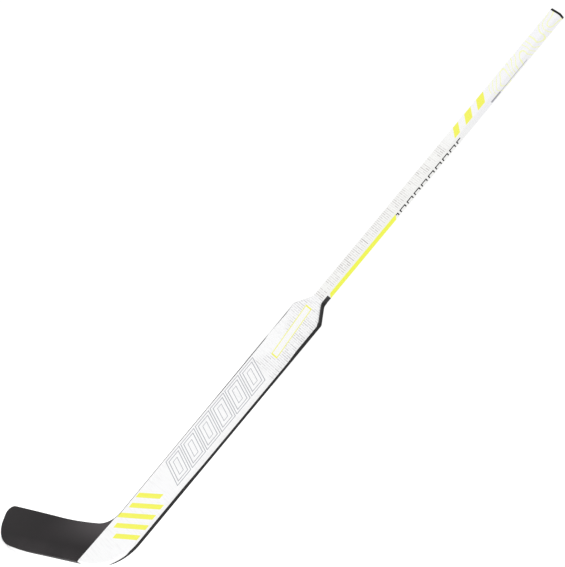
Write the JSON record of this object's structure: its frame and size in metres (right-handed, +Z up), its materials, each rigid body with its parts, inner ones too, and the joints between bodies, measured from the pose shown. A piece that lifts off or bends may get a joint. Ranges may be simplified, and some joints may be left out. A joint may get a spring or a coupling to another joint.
{
  "type": "hockey goalie stick",
  "caption": "Composite hockey goalie stick with a slim hollow shaft, a wide foam-cored paddle and a curved blade, for stopping and steering a puck.",
  "frame": {"origin": "on the shaft's axis, where the shaft leaves the neck of the paddle", "axes": "+Z up the shaft to the butt, +X to the heel edge of the paddle, +Y to the front, the hollow side of the blade"},
  "size_m": [0.3445, 0.0299, 1.5438],
  "materials": {
    "shaft_paint": "white gloss lacquer on carbon laminate",
    "cap_rubber": "black moulded rubber",
    "paddle_back_paint": "white gloss lacquer on carbon laminate",
    "paddle_front_paint": "white gloss lacquer on carbon laminate",
    "heel_band": "black satin laminate",
    "toe_band": "black satin laminate",
    "web_laminate": "raw carbon laminate",
    "paddle_foam": "closed-cell foam",
    "heel_filler": "dense cast filler",
    "blade_foam": "closed-cell foam",
    "blade_back_laminate": "charcoal matt laminate",
    "blade_front_laminate": "charcoal matt laminate",
    "blade_edge_laminate": "charcoal matt laminate"
  },
  "bodies": {
    "root": {"shaft_tube": "shaft_paint", "end_cap": "cap_rubber", "paddle_back_shell": "paddle_back_paint", "paddle_front_shell": "paddle_front_paint", "heel_edge_band": "heel_band", "toe_edge_band": "toe_band", "toe_side_web": "web_laminate", "heel_side_web": "web_laminate", "centre_foam_core": "paddle_foam", "toe_side_foam_core": "paddle_foam", "heel_side_foam_core": "paddle_foam", "heel_block": "heel_filler", "blade_spine": "web_laminate", "blade_upper_foam_core": "blade_foam", "blade_lower_foam_core": "blade_foam", "blade_back_skin": "blade_back_laminate", "blade_front_skin": "blade_front_laminate", "blade_edge_wrap": "blade_edge_laminate"}
  },
  "joints": []
}
